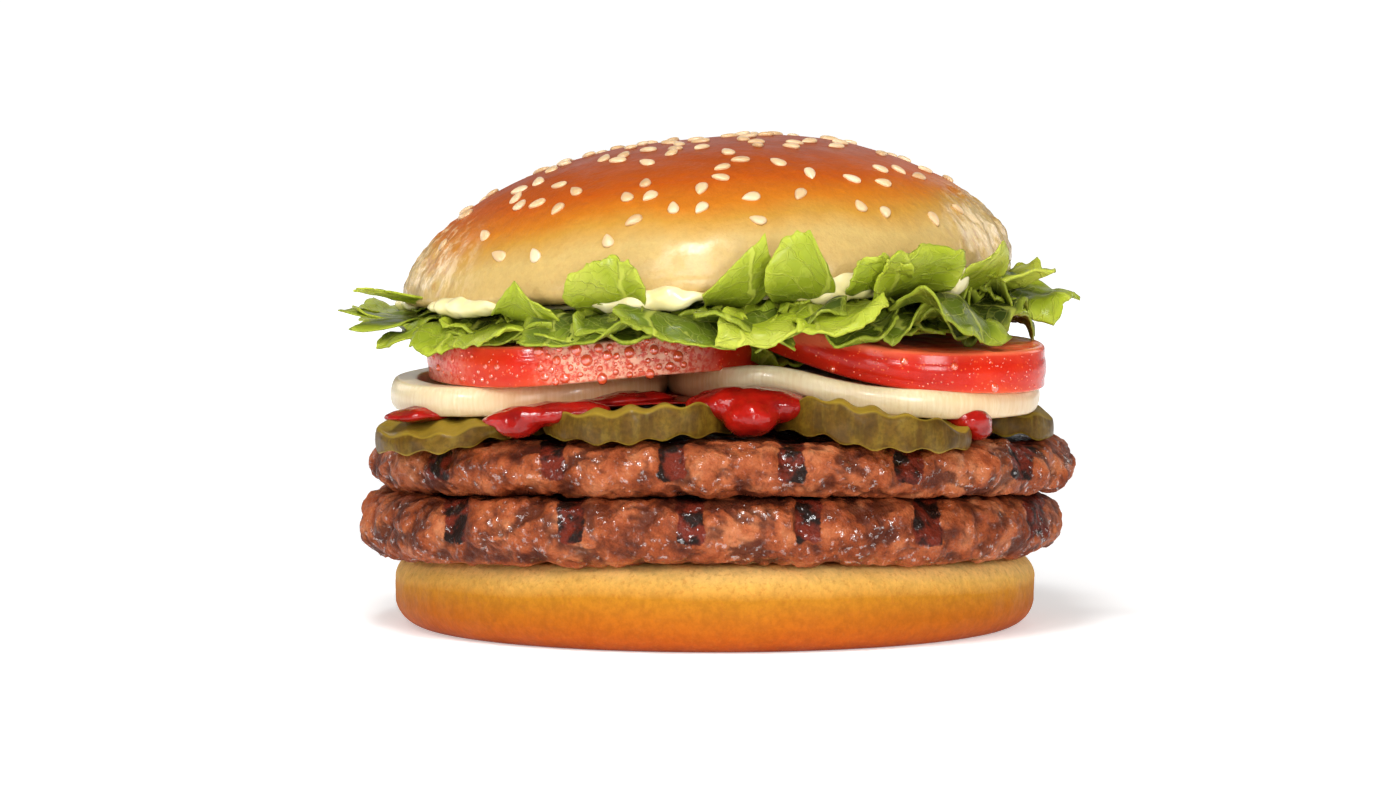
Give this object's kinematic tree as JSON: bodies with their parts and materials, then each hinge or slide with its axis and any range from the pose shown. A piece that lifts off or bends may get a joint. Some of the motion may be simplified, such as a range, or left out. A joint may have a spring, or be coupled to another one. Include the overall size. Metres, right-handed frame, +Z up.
{
  "type": "double hamburger",
  "caption": "Sesame bun filled with grilled beef patties, pickle chips, onion, ketchup, tomato slices, chopped lettuce and mayonnaise, standing on its flat base.",
  "frame": {"origin": "centre of the flat base of the bottom bun", "axes": "+Z up through the stack, -Y towards the side that the picture shows, +X to the right as seen from there"},
  "size_m": [0.1311, 0.126, 0.0872],
  "materials": {
    "crust": "golden baked bun crust, paler near its cut rim",
    "beef": "craggy grilled ground beef with dark grill bars",
    "pickle": "wet olive-green pickle",
    "tomato": "wet red tomato skin and flesh",
    "onion": "translucent cream-white onion",
    "lettuce": "crisp green leaf",
    "ketchup": "glossy red sauce",
    "mayo": "glossy cream sauce"
  },
  "bodies": {
    "root": {"heel": "crust", "patty_lower": "beef", "patty_upper": "beef", "pickle_1": "pickle", "pickle_2": "pickle", "pickle_3": "pickle", "pickle_4": "pickle", "pickle_5": "pickle", "pickle_6": "pickle", "pickle_7": "pickle", "ketchup": "ketchup", "onion_1": "onion", "onion_2": "onion", "onion_3": "onion", "onion_4": "onion", "tomato_1": "tomato", "tomato_2": "tomato", "tomato_3": "tomato", "tomato_4": "tomato", "lettuce": "lettuce", "mayo": "mayo", "crown": "crust"}
  },
  "joints": []
}
